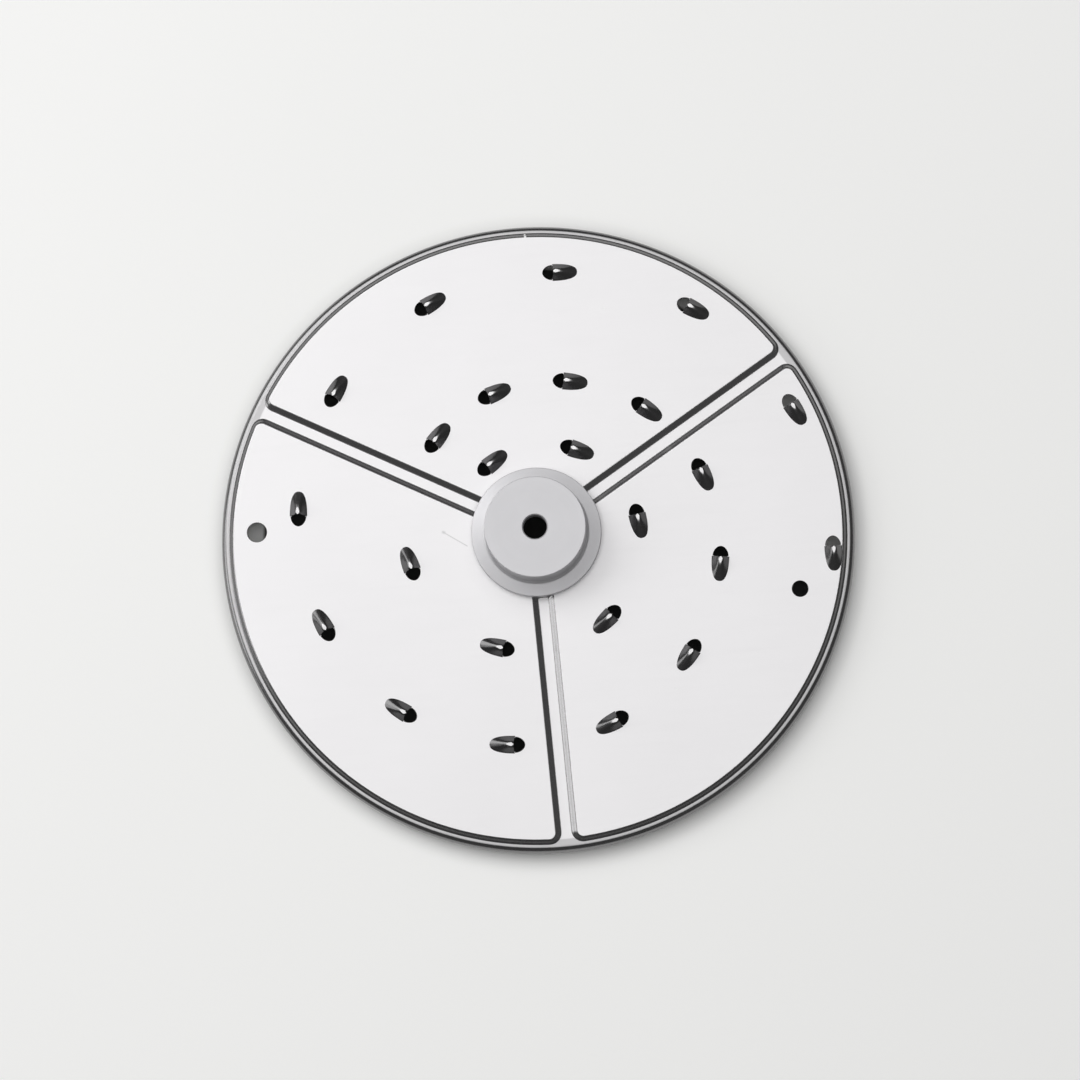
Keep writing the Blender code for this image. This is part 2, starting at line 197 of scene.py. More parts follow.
class Workshop:
    """What is done to every piece once its shapes are drawn."""

    MERGE = 0.002 * MM
    SLIVER = 0.001 * MM
    AREA_WEIGHT = 50
    LEVEL = 0.99995

    @staticmethod
    def bake(part: Piece) -> None:
        """Turn what an object's modifiers make into its own plain mesh."""
        graph = bpy.context.evaluated_depsgraph_get()
        mesh = bpy.data.meshes.new_from_object(part.evaluated_get(graph))
        part.modifiers.clear()
        part.data = mesh

    @staticmethod
    def shape(part: Piece, steps: list[tuple[Cut, Piece]]) -> None:
        """Join tools to a piece or cut them from it, in order, and remove them."""
        for cut, tool in steps:
            boolean = part.modifiers.new(tool.name, "BOOLEAN")
            boolean.operation = cut.value
            boolean.object = tool
            boolean.solver = "EXACT"
        Workshop.bake(part)
        for _, tool in steps:
            bpy.data.objects.remove(tool, do_unlink=True)

    @staticmethod
    def smooth(part: Piece, sharp_angle: float) -> None:
        """Merge doubles, keep the edges from an angle on hard and give the faces even shading."""
        bm = bmesh.new()
        bm.from_mesh(part.data)
        bmesh.ops.remove_doubles(bm, verts=bm.verts, dist=Workshop.MERGE)
        bmesh.ops.dissolve_degenerate(bm, edges=bm.edges, dist=Workshop.SLIVER)
        bmesh.ops.recalc_face_normals(bm, faces=bm.faces)
        bm.to_mesh(part.data)
        bm.free()
        part.data.shade_smooth()
        part.data.set_sharp_from_angle(angle=math.radians(sharp_angle))
        even = part.modifiers.new("even shading", "WEIGHTED_NORMAL")
        even.mode = "FACE_AREA"
        even.keep_sharp = True
        even.weight = Workshop.AREA_WEIGHT
        Workshop.bake(part)
        Workshop.level_flats(part)

    @staticmethod
    def level_flats(part: Piece) -> None:
        """Shade level faces dead flat, and let the curves beside them start from that."""
        mesh, limit = part.data, Workshop.LEVEL
        normals = [Vector(corner.vector) for corner in mesh.corner_normals]
        bm = bmesh.new()
        bm.from_mesh(mesh)
        for face in bm.faces:
            level = abs(face.normal.z) > limit
            for corner in face.loops:
                edges = (corner.edge, corner.link_loop_prev.edge)
                beside = [other for edge in edges if edge.smooth for other in edge.link_faces
                          if abs(other.normal.z) > limit]
                if level or beside:
                    side = face if level else beside[0]
                    normals[corner.index] = Vector((0.0, 0.0, math.copysign(1.0, side.normal.z)))
        bm.free()
        mesh.normals_split_custom_set(normals)

    @staticmethod
    def dress(part: Piece, material: Material, slot: str, nodes: list[str],
              sharp_angle: float = 38.0) -> None:
        """Smooth a shaped piece, give it its material and set it in the frame.

        Args:
            part: The piece, with its mesh baked.
            material: Its only material.
            slot: The record's material slot; not used.
            nodes: CAD nodes that the piece stands for.
            sharp_angle: Angle in degrees from which an edge stays hard.
        """
        Workshop.smooth(part, sharp_angle)
        part.data.materials.clear()
        part.data.materials.append(material)
        part.data.polygons.foreach_set("material_index", [0] * len(part.data.polygons))
        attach(part, BODY)
        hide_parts(*nodes)
        log.info("%s: %d faces, for %s", part.name, len(part.data.polygons), ", ".join(nodes))


class TreeSketch:
    """Adds nodes to a tree and joins their sockets."""

    def __init__(self, tree: bpy.types.NodeTree) -> None:
        """Keep the tree that the nodes go into."""
        self.tree = tree

    def wire(self, node: bpy.types.Node, inputs: dict) -> bpy.types.Node:
        """Set a node's inputs, by name or number, to values or output sockets."""
        for key, value in inputs.items():
            if isinstance(value, Socket):
                self.tree.links.new(value, node.inputs[key])
            else:
                node.inputs[key].default_value = value
        return node

    def add(self, kind: str, inputs: dict | None = None, **settings: object) -> bpy.types.Node:
        """Add one node of a type that Blender names, with its inputs and its properties."""
        node = self.tree.nodes.new(kind)
        for name, value in settings.items():
            setattr(node, name, value)
        return self.wire(node, inputs or {})

    def math(self, operation: str, *values: object) -> Socket:
        """Return the result of one Math node on numbers or sockets."""
        return self.add("ShaderNodeMath", dict(enumerate(values)), operation=operation).outputs[0]

    def plan(self, x: object, y: object) -> Socket:
        """Return a place in plan, at height 0."""
        return self.add("ShaderNodeCombineXYZ", {0: x, 1: y}).outputs[0]


class Paint(TreeSketch):
    """A material under construction, on Object coordinates."""

    def __init__(self, name: str) -> None:
        """Start the material with its shader."""
        self.material = bpy.data.materials.new(name)
        self.material.use_nodes = True
        super().__init__(self.material.node_tree)
        self.shader = self.tree.nodes["Principled BSDF"]
        self.place = self.add("ShaderNodeTexCoord").outputs["Object"]

    def vector(self, operation: str, *values: object) -> bpy.types.Node:
        """Return one Vector Math node on vectors or sockets."""
        return self.add("ShaderNodeVectorMath", dict(enumerate(values)), operation=operation)

    def flat(self) -> Socket:
        """Return the surface's place with its height left out."""
        split = self.add("ShaderNodeSeparateXYZ", {0: self.place})
        return self.plan(split.outputs[0], split.outputs[1])

    def reach(self) -> Socket:
        """Return the surface's distance from the disc's axis."""
        return self.vector("LENGTH", self.flat()).outputs["Value"]

    def height(self, place: Socket) -> Socket:
        """Return the upright part of a place or direction."""
        return self.add("ShaderNodeSeparateXYZ", {0: place}).outputs[2]

    def rise(self) -> Socket:
        """Return how far the surface looks up, from -1 to 1."""
        return self.height(self.add("ShaderNodeTexCoord").outputs["Normal"])

    def noise(self, place: Socket, scale: float, detail: float) -> Socket:
        """Return a noise from 0 to 1 at a place."""
        inputs = {"Vector": place, "Scale": scale, "Detail": detail}
        return self.add("ShaderNodeTexNoise", inputs).outputs[0]

    def ramp(self, value: Socket, span: Point, result: Point = (0.0, 1.0),
             eased: bool = False) -> Socket:
        """Carry a value from one span to another, softly if eased, and hold it at both ends."""
        return self.add("ShaderNodeMapRange", {
            "Value": value, "From Min": span[0], "From Max": span[1],
            "To Min": result[0], "To Max": result[1],
        }, interpolation_type="SMOOTHSTEP" if eased else "LINEAR").outputs[0]

    def strongest(self, masks: Iterable[Socket]) -> Socket:
        """Return the strongest of several masks."""
        first, *others = masks
        for mask in others:
            first = self.math("MAXIMUM", first, mask)
        return first

    def on_top(self, masks: Iterable[Socket]) -> Socket:
        """Return the strongest of several masks, kept only on faces that look up."""
        looks_up = self.math("GREATER_THAN", self.rise(), 0.0)
        return self.math("MULTIPLY", self.strongest(masks), looks_up)

    def blend(self, share: Socket, low: object, high: object) -> Socket:
        """Return a value between two, by a share from 0 to 1."""
        return self.add("ShaderNodeMix", {"Factor": share, 2: low, 3: high}).outputs[0]

    def tint(self, colour: Colour, tone: Socket) -> Socket:
        """Return a colour that a tone makes darker."""
        scaled = self.add("ShaderNodeVectorMath", {0: colour, "Scale": tone}, operation="SCALE")
        return scaled.outputs[0]


class RepeatTree(TreeSketch):
    """A Geometry Nodes tree that repeats the object's own mesh on a row of points."""

    def __init__(self, name: str) -> None:
        """Start the tree with its input for the mesh."""
        super().__init__(bpy.data.node_groups.new(name, "GeometryNodeTree"))
        for side in ("OUTPUT", "INPUT"):
            self.tree.interface.new_socket("Geometry", in_out=side, socket_type="NodeSocketGeometry")
        self.values: dict[str, object] = {}
        self.group = self.tree.nodes.new("NodeGroupInput")
        self.index = self.tree.nodes.new("GeometryNodeInputIndex").outputs[0]

    def size(self, name: str, value: float | int | Material, kind: str = "Float") -> Socket:
        """Add a named input with its value, and return its socket inside the tree."""
        socket = self.tree.interface.new_socket(name, in_out="INPUT", socket_type=f"NodeSocket{kind}")
        self.values[socket.identifier] = value
        return self.group.outputs[name]

    def spot(self, radius: Socket, turn: Socket) -> Socket:
        """Return the place at a radius and an angle in radians."""
        x, y = (self.math("MULTIPLY", radius, self.math(name, turn)) for name in ("COSINE", "SINE"))
        return self.plan(x, y)

    def repeat(self, part: Piece, count: Socket, position: Socket, turn: Socket,
               material: Material) -> None:
        """Set an object's mesh on every point, and keep the result as its plain mesh.

        Args:
            part: The object.
            count: Number of copies.
            position: Place of each copy, from its index.
            turn: Turn of each copy round Z in radians.
            material: Material of the copies.
        """
        points = self.add("GeometryNodePoints", {"Count": count, "Position": position})
        angles = self.add("ShaderNodeCombineXYZ", {"Z": turn})
        rotation = self.add("FunctionNodeEulerToRotation", {0: angles.outputs[0]})
        copies = self.add("GeometryNodeInstanceOnPoints", {
            "Points": points.outputs[0], "Instance": self.group.outputs["Geometry"],
            "Rotation": rotation.outputs[0],
        })
        real = self.add("GeometryNodeRealizeInstances", {0: copies.outputs[0]})
        metal = self.size("Material", material, "Material")
        dressed = self.add("GeometryNodeSetMaterial", {"Geometry": real.outputs[0], "Material": metal})
        self.add("NodeGroupOutput", {0: dressed.outputs[0]})
        modifier = part.modifiers.new(self.tree.name, "NODES")
        modifier.node_group = self.tree
        for identifier, value in self.values.items():
            modifier[identifier] = value
        Workshop.bake(part)


@dataclass(frozen=True)
class Speck:
    """A small bright spot on the upper side, given in plan."""

    x: float
    y: float
    radius: float


@dataclass(frozen=True)
class Scuff:
    """A short dull line on the upper side, given in plan."""

    start: Point
    end: Point
    width: float


@dataclass(frozen=True)
class MetalFinish:
    """A bare metal surface: its tone and gloss, and the marks of making and use on it.

    Sloped walls, tooth flanks and the rim can be darkened with painted shade.
    """

    name: str
    colour: Colour
    roughness: float
    grain: Grain
    grain_size: float
    grain_depth: float
    cloud_size: float = 40.0 * MM
    cloud_tone: float = 0.03
    gloss_spread: float = 0.06
    matt: float = 0.0
    drawn_roughness: float = 0.0
    # wall_shade_tone and tooth_shade_tone darken sloped walls and tooth flanks as painted shade.
    wall_shade_tone: float = 1.0
    tooth_foot: float = 0.0
    tooth_shade_tone: float = 1.0
    # rim_from, rim_shade_tone and rim_ease darken the rim band and turned-down edge as painted shade.
    rim_from: float = 0.0
    rim_shade_tone: float = 1.0
    rim_ease: float = 0.4 * MM
    scratches: float = 0.0
    specks: tuple[Speck, ...] = ()
    scuffs: tuple[Scuff, ...] = ()
    rolled_stretch: float = 0.04
    grain_detail: float = 3.0
    cloud_detail: float = 4.0
    cloud_span: Point = (0.3, 0.7)
    slope_span: Point = (0.992, 0.955)
    scratch_turns: tuple[float, ...] = (17.0, 74.0, 131.0)
    scratch_scale: tuple[float, float, float] = (45.0, 2600.0, 45.0)
    scratch_span: Point = (0.74, 0.80)
    speck_core: float = 0.4
    scuff_depth: float = 0.3

    def grain_field(self, paint: Paint) -> Socket:
        """Return a value from 0 to 1 that follows the marks of making."""
        where = paint.place
        if self.grain is Grain.TURNED:
            where = paint.plan(paint.reach(), paint.height(paint.place))
        elif self.grain is Grain.ROLLED:
            where = paint.add("ShaderNodeMapping", {
                "Vector": paint.place, "Scale": (self.rolled_stretch, 1.0, 1.0),
            }).outputs[0]
        return paint.noise(where, 1.0 / self.grain_size, self.grain_detail)

    def scratch_field(self, paint: Paint, turn: float) -> Socket:
        """Return a mask of fine straight scratches at one angle in degrees."""
        turned = paint.add("ShaderNodeMapping", {
            "Vector": paint.place,
            "Rotation": (0.0, 0.0, math.radians(turn)),
            "Scale": self.scratch_scale,
        })
        return paint.ramp(paint.noise(turned.outputs[0], 1.0, 0.0), self.scratch_span)

    def speck_field(self, paint: Paint, speck: Speck) -> Socket:
        """Return the mask of one speck."""
        away = paint.vector("DISTANCE", paint.flat(), (speck.x, speck.y, 0.0))
        return paint.ramp(away.outputs["Value"], (speck.radius, speck.radius * self.speck_core))

    def scuff_field(self, paint: Paint, scuff: Scuff) -> Socket:
        """Return the mask of one scuff, from its distance to the nearest point of the line."""
        (x, y), (end_x, end_y) = scuff.start, scuff.end
        length = math.dist(scuff.start, scuff.end)
        way = ((end_x - x) / length, (end_y - y) / length, 0.0)
        from_start = paint.vector("SUBTRACT", paint.flat(), (x, y, 0.0)).outputs[0]
        along = paint.vector("DOT_PRODUCT", from_start, way).outputs["Value"]
        near = paint.add("ShaderNodeClamp", {"Value": along, "Max": length}).outputs[0]
        foot = paint.plan(paint.math("MULTIPLY", near, way[0]), paint.math("MULTIPLY", near, way[1]))
        away = paint.vector("DISTANCE", from_start, foot)
        return paint.ramp(away.outputs["Value"], (scuff.width, 0.0))

    def build(self) -> Material:
        """Return the finish as a material on Object coordinates."""
        paint = Paint(self.name)
        grain = self.grain_field(paint)
        cloud = paint.noise(paint.place, 1.0 / self.cloud_size, self.cloud_detail)
        tone = paint.ramp(cloud, self.cloud_span, (1.0 - self.cloud_tone, 1.0))
        gloss = paint.math("MULTIPLY_ADD", grain, 2.0 * self.gloss_spread,
                           self.roughness - self.gloss_spread)
        bare, height = 1.0 - self.matt, grain
        # Sloped walls and tooth flanks: lower roughness, and a darker colour that is painted shade.
        if self.drawn_roughness:
            slope = paint.ramp(paint.math("ABSOLUTE", paint.rise()), self.slope_span, eased=True)
            raised = paint.math("GREATER_THAN", paint.height(paint.place), self.tooth_foot)
            slope_shade = paint.blend(raised, self.wall_shade_tone, self.tooth_shade_tone)
            tone = paint.math("MULTIPLY", tone, paint.blend(slope, 1.0, slope_shade))
            gloss = paint.blend(slope, gloss, self.drawn_roughness)
            bare = paint.blend(slope, bare, 1.0)
        # The rim band and turned-down edge are darkened as painted shade.
        if self.rim_from:
            rim = paint.ramp(paint.reach(), (self.rim_from, self.rim_from + self.rim_ease),
                             (1.0, self.rim_shade_tone))
            tone = paint.math("MULTIPLY", tone, rim)
        if self.scuffs:
            dull = paint.on_top(self.scuff_field(paint, scuff) for scuff in self.scuffs)
            wear = paint.math("MULTIPLY_ADD", dull, -self.scuff_depth, 1.0)
            tone = paint.math("MULTIPLY", tone, wear)
        colour = paint.tint(self.colour, tone)
        if self.scratches:
            marks = paint.strongest(self.scratch_field(paint, turn) for turn in self.scratch_turns)
            gloss = paint.math("MULTIPLY_ADD", marks, self.scratches, gloss)
            height = paint.math("MULTIPLY_ADD", marks, -self.scratches, grain)
        if self.specks:
            spots = paint.on_top(self.speck_field(paint, speck) for speck in self.specks)
            white = (1.0, 1.0, 1.0, 1.0)
            colour = paint.add("ShaderNodeMix", {"Factor": spots, 6: colour, 7: white},
                               data_type="RGBA").outputs[2]
            bare = paint.blend(spots, bare, 0.0)
        bump = paint.add("ShaderNodeBump", {"Height": height, "Strength": 1.0,
                                            "Distance": self.grain_depth})
        paint.wire(paint.shader, {"Metallic": bare, "Base Color": colour, "Roughness": gloss,
                                  "Normal": bump.outputs[0]})
        return paint.material


@dataclass
class Fixing:
    """The clamp ring's screws and the sizes that the ring and the hub share with them."""

    ring_height: float = 6.5 * MM
    ring_radius: float = 15.9 * MM
    ring_edge: float = 0.5 * MM
    stem_bore: float = 8.3 * MM
    clearance: float = 0.3 * MM
    slot_width: float = 4.6 * MM
    slot_depth: float = 3.5 * MM
    screws: int = 3
    screw_angle: float = -30.0
    circle: float = 12.1 * MM
    head: float = 5.5 * MM
    shank: float = 3.0 * MM
    land: float = 0.3 * MM
    sink: float = 0.2 * MM
    tip: float = 13.6 * MM
    margin: float = 1.0 * MM

    @property
    def head_height(self) -> float:
        """Height of the 90 degree head below its land."""
        return (self.head - self.shank) / 2

    @property
    def hole(self) -> float:
        """Radius of the holes for the screws' shanks."""
        return self.shank / 2 + self.clearance

    def drill(self, radii: list[float], levels: list[float], segments: int) -> MeshDraft:
        """Return a draft of a round solid on each screw's axis, with one radius for each level."""
        draft = MeshDraft()
        for number in range(self.screws):
            centre = polar(self.circle, self.screw_angle + 360.0 * number / self.screws)
            draft.stack(centre, radii, levels, segments)
        return draft

    def drive_slot(self, name: str) -> Piece:
        """Return the bar that cuts the drive slot across the stem and the ring."""
        half = (self.ring_radius + self.margin, self.slot_width / 2)
        return MeshDraft().block(half, (-self.margin, self.slot_depth)).finish(name)


@dataclass
class Hub:
    """The turned hub: drum, shoulder and flange on the plate, stem and socket below it."""

    drum_radius: float = 14.6 * MM
    flange_radius: float = 18.9 * MM
    seat: float = 7.85 * MM
    flange_top: float = 10.3 * MM
    shoulder_top: float = 11.0 * MM
    top: float = 20.1 * MM
    edge: float = 0.25 * MM
    fillet: float = 1.2 * MM
    hole: float = 3.45 * MM
    chamfer: float = 0.3 * MM
    stem_radius: float = 8.0 * MM
    stem_foot: float = 0.5 * MM
    socket_radius: float = 6.2 * MM
    socket_top: float = 16.1 * MM
    break_edge: float = 0.2 * MM
    tap_reach: float = 6.5 * MM
    segments: int = 192
    edge_steps: int = 6
    fillet_steps: int = 8
    break_steps: int = 3
    tap_segments: int = 32

    def profile(self) -> list[Point]:
        """Return the hub's section as a closed outline of (radius, level)."""
        run = self.flange_radius - self.drum_radius - self.fillet
        slope = math.degrees(math.atan2(self.shoulder_top - self.flange_top, run))
        corner = (self.drum_radius + self.fillet, self.shoulder_top + self.fillet)
        rim, edge, small = self.flange_radius, self.edge, self.break_edge
        points = [(self.hole, self.socket_top), (self.hole, self.top - self.chamfer),
                  (self.hole + self.chamfer, self.top)]
        points += arc((self.drum_radius - edge, self.top - edge), edge, 90.0, 0.0, self.edge_steps)
        points += arc(corner, self.fillet, 180.0, 270.0 - slope, self.fillet_steps)
        points += arc((rim - edge, self.flange_top - edge), edge, 90.0 - slope, 0.0, self.edge_steps)
        foot, steps = self.stem_foot + small, self.break_steps
        points += arc((rim - small, self.seat + small), small, 0.0, -90.0, steps)
        points += [(self.stem_radius, self.seat)]
        points += arc((self.stem_radius - small, foot), small, 0.0, -90.0, steps)
        points += arc((self.socket_radius + small, foot), small, 270.0, 180.0, steps)
        return points + [(self.socket_radius, self.socket_top)]

    def build(self, finish: MetalFinish, fixing: Fixing) -> None:
        """Build and dress the hub, with the holes for the screws and the drive slot."""
        hub = MeshDraft().revolve(self.profile(), self.segments).finish("turned_hub")
        levels = [self.seat - fixing.margin, self.seat + self.tap_reach]
        holes = fixing.drill([fixing.hole] * 2, levels, self.tap_segments).finish("tapped_holes")
        Workshop.shape(hub, [(Cut.REMOVE, holes), (Cut.REMOVE, fixing.drive_slot("stem_slot"))])
        Workshop.dress(hub, finish.build(), "satin_aluminium", ["hub"])


@dataclass
class ClampRing:
    """The ring below the plate, with countersunk holes and the drive slot."""

    segments: int = 144
    edge_steps: int = 4
    hole_segments: int = 48

    def build(self, finish: MetalFinish, fixing: Fixing) -> None:
        """Build and dress the ring, with the holes for the screws and the drive slot."""
        outer, edge = fixing.ring_radius - fixing.ring_edge, fixing.ring_edge
        profile = [(fixing.stem_bore, fixing.ring_height)]
        profile += arc((outer, fixing.ring_height - edge), edge, 90.0, 0.0, self.edge_steps)
        profile += arc((outer, edge), edge, 0.0, -90.0, self.edge_steps)
        profile += [(fixing.stem_bore, 0.0)]
        clamp = MeshDraft().revolve(profile, self.segments).finish("clamping_ring")
        head, start = fixing.head / 2 + fixing.clearance, fixing.sink + fixing.land
        levels = [-fixing.margin, start, start + fixing.head_height, fixing.ring_height + fixing.margin]
        radii = [head, head, fixing.hole, fixing.hole]
        sinks = fixing.drill(radii, levels, self.hole_segments).finish("countersinks")
        Workshop.shape(clamp, [(Cut.REMOVE, sinks), (Cut.REMOVE, fixing.drive_slot("ring_slot"))])
        Workshop.dress(clamp, finish.build(), "turned_aluminium", ["clamp_ring"])


@dataclass
class HubScrews:
    """The countersunk screws that hold the ring to the hub, with a socket key."""

    pitch: float = 0.5 * MM
    thread_depth: float = 0.28 * MM
    key_width: float = 2.0 * MM
    key_depth: float = 1.3 * MM
    key_sides: int = 6
    key_point: Point = (0.2 * MM, 0.5 * MM)
    head_break: float = 0.1 * MM
    thread_end: float = 0.2
    segments: int = 32
    rows_a_turn: int = 6
    sharp_angle: float = 30.0

    def thread_rings(self, fixing: Fixing, start: float) -> list[Ring]:
        """Return rings whose radius follows the thread's helix.

        Args:
            fixing: The screw's sizes.
            start: Level at which the thread starts.

        Returns:
            The rings, lowest first.
        """
        rings = []
        rows = int((fixing.tip - start) / self.pitch * self.rows_a_turn)
        for row in range(rows + 1):
            level = start + (fixing.tip - start) * row / rows
            fade = min(1.0, row / self.rows_a_turn, (rows - row) / self.rows_a_turn + self.thread_end)
            turn = []
            for step in range(self.segments):
                phase = (level / self.pitch - step / self.segments) % 1.0
                depth = self.thread_depth * fade * (1.0 - abs(2.0 * phase - 1.0))
                x, y = polar(fixing.shank / 2 - depth, 360.0 * step / self.segments)
                turn.append((x, y, level))
            rings.append(turn)
        return rings

    def build(self, finish: MetalFinish, fixing: Fixing) -> None:
        """Build one screw, set it on its circle and dress the three as one piece.

        Args:
            finish: Their finish.
            fixing: The screws' sizes and places.
        """
        head, land = fixing.head / 2, fixing.sink + fixing.land
        neck = land + fixing.head_height
        outline = [(head - self.head_break, fixing.sink), (head, fixing.sink + self.head_break),
                   (head, land), (fixing.shank / 2, neck)]
        rings = [ring(radius, level, self.segments) for radius, level in outline]
        rings += self.thread_rings(fixing, neck + self.pitch)
        screws = MeshDraft().loft(rings).finish("ring_screws")
        corner, bottom = self.key_width / math.sqrt(3), fixing.sink + self.key_depth
        point, cone = self.key_point
        key = MeshDraft().stack((0.0, 0.0), [corner, corner, point],
                                [-fixing.margin, bottom, bottom + cone], self.key_sides)
        Workshop.shape(screws, [(Cut.REMOVE, key.finish("key_socket"))])
        material = finish.build()
        tree = RepeatTree("screws on a circle")
        count, circle = tree.size("Count", fixing.screws, "Int"), tree.size("Circle", fixing.circle)
        first = tree.size("First angle", fixing.screw_angle)
        share = tree.math("DIVIDE", tree.index, count)
        turn = tree.math("RADIANS", tree.math("MULTIPLY_ADD", share, 360.0, first))
        tree.repeat(screws, count, tree.spot(circle, turn), turn, material)
        nodes = [f"hub_screw_{number + 1}" for number in range(fixing.screws)]
        Workshop.dress(screws, material, "screw_steel", nodes, self.sharp_angle)


@dataclass
class ToothForm:
    """One drawn and pierced tooth, and the spiral that the teeth stand on."""

    count: int = 24
    close_teeth: int = 18
    first_radius: float = 86.2 * MM
    last_radius: float = 24.5 * MM
    first_angle: float = -9.9
    step: float = 29.8
    step_loss: float = 0.049
    wide_step: float = 57.7
    lead: float = 6.5
    tail: float = 7.3 * MM
    nose: float = 2.9 * MM
    width: float = 5.0 * MM
    nose_width: float = 4.6 * MM
    height: float = 2.2 * MM
    wall: float = 0.5 * MM
    flare: float = 0.2 * MM
    lip_fall: float = 0.22 * MM
    crest_length: float = 0.28
    crest_width: float = 0.27
    rake: float = 8.0
    mouth_lead: float = 0.1 * MM
    overlap: float = 0.03 * MM
    tail_fullness: float = 2.5
    nose_fullness: float = 1.9
    tail_steps: int = 28
    nose_steps: int = 18
    curve_steps: int = 5
    foot_trim: float = 0.45
    crest_trim: float = 0.3
    spring_rise: float = 0.02
    thinnest: float = 0.003 * MM
    at_lip: float = 0.01 * MM

    def spread(self, part: Piece, material: Material) -> Piece:
        """Repeat a tooth's shape along the spiral with a Geometry Nodes tree.

        Args:
            part: Object whose mesh is the shape, with the mouth towards +X.
            material: Material of the copies.

        Returns:
            The same object.
        """
        tree = RepeatTree(f"{part.name} on the spiral")
        count = tree.size("Count", self.count, "Int")
        close = tree.size("Close teeth", self.close_teeth, "Int")
        first = tree.size("First radius", self.first_radius)
        last = tree.size("Last radius", self.last_radius)
        angle, step = tree.size("First angle", self.first_angle), tree.size("Step", self.step)
        loss, wide = tree.size("Step loss", self.step_loss), tree.size("Wide step", self.wide_step)
        lead = tree.size("Lead", 90.0 + self.lead)
        calc = tree.math
        share = calc("DIVIDE", tree.index, calc("SUBTRACT", count, 1.0))
        radius = calc("MULTIPLY_ADD", calc("SUBTRACT", last, first), share, first)
        final = calc("SUBTRACT", close, 1.0)
        near = calc("MINIMUM", tree.index, final)
        far = calc("MAXIMUM", calc("SUBTRACT", tree.index, final), 0.0)
        pairs = calc("MULTIPLY", calc("MULTIPLY", near, calc("SUBTRACT", near, 1.0)), 0.5)
        swing = calc("MULTIPLY_ADD", near, step, angle)
        swing = calc("SUBTRACT", swing, calc("MULTIPLY", pairs, loss))
        swing = calc("MULTIPLY_ADD", far, wide, swing)
        heading = calc("RADIANS", calc("ADD", swing, lead))
        tree.repeat(part, count, tree.spot(radius, calc("RADIANS", swing)), heading, material)
        return part

    def domes(self, name: str, outline: list[Point], levels: tuple[float, float, float],
              material: Material, flare: float = 0.0, ahead: float = 0.0, lip: float = 0.0) -> Piece:
        """Return a dome over an outline, with a level crest, for each tooth.

        Args:
            name: Name of the tool shape.
            outline: Closed outline, with the lip's middle at (0, 0).
            levels: The lowest level, the one at which the dome springs and the crest's.
            material: Material of the plate.
            flare: How far the foot runs out beyond the outline.
            ahead: How far the dome is moved towards the mouth.
            lip: How far the dome falls at its lip.

        Returns:
            The tool shape.
        """
        foot, spring, top = levels
        corners = [
            Vector((1.0 + flare / self.tail, 1.0 + flare / (self.width / 2), 0.0)),
            Vector((1.0, 1.0, self.spring_rise if flare else 0.0)),
            Vector((self.crest_length, self.crest_width, 1.0)),
            Vector((0.0, 0.0, 1.0)),
        ]
        path = rounded_path(corners, [self.foot_trim, self.crest_trim], self.curve_steps)
        path.insert(0, Vector((path[0].x, path[0].y, (foot - spring) / (top - spring))))
        shift = (self.tail - self.nose) / 2 + ahead
        lean = math.tan(math.radians(self.rake))
        rings = []
        for along, across, share in path:
            level = spring + (top - spring) * share
            back, fall = max(level - spring, 0.0) * lean, lip * max(share, 0.0)
            points = []
            for u, v in outline:
                drop = fall if abs(u) < self.at_lip else 0.0
                points.append((u * along + shift - back, v * across, level - drop))
            if not rings or max(math.dist(a, b) for a, b in zip(points, rings[-1])) > self.thinnest:
                rings.append(points if along else points[:1])
        return self.spread(MeshDraft().loft(rings).finish(name), material)

    def hoods(self, foot: float, panel: float, material: Material) -> Piece:
        """Return all the drawn hoods, from a level in the sheet and the level of the panels."""
        outline = superellipse(self.tail, self.width / 2, self.tail_fullness, 90.0, 270.0,
                               self.tail_steps)
        levels = (foot, panel - self.overlap, panel + self.height)
        return self.domes("tooth_hoods", outline, levels, material, flare=self.flare, lip=self.lip_fall)

    def mouths(self, foot: float, panel: float, material: Material) -> Piece:
        """Return what is pierced out of the teeth, from below the sheet and the panels' level."""
        half, length = self.width / 2 - self.wall, self.tail - self.wall
        outline = superellipse(length, half, self.tail_fullness, 90.0, 270.0, self.tail_steps)
        outline += superellipse(self.nose, self.nose_width / 2, self.nose_fullness, -90.0, 90.0,
                                self.nose_steps)
        levels = (foot, panel + self.overlap, panel + self.height - self.wall)
        return self.domes("tooth_mouths", outline, levels, material, ahead=self.mouth_lead)


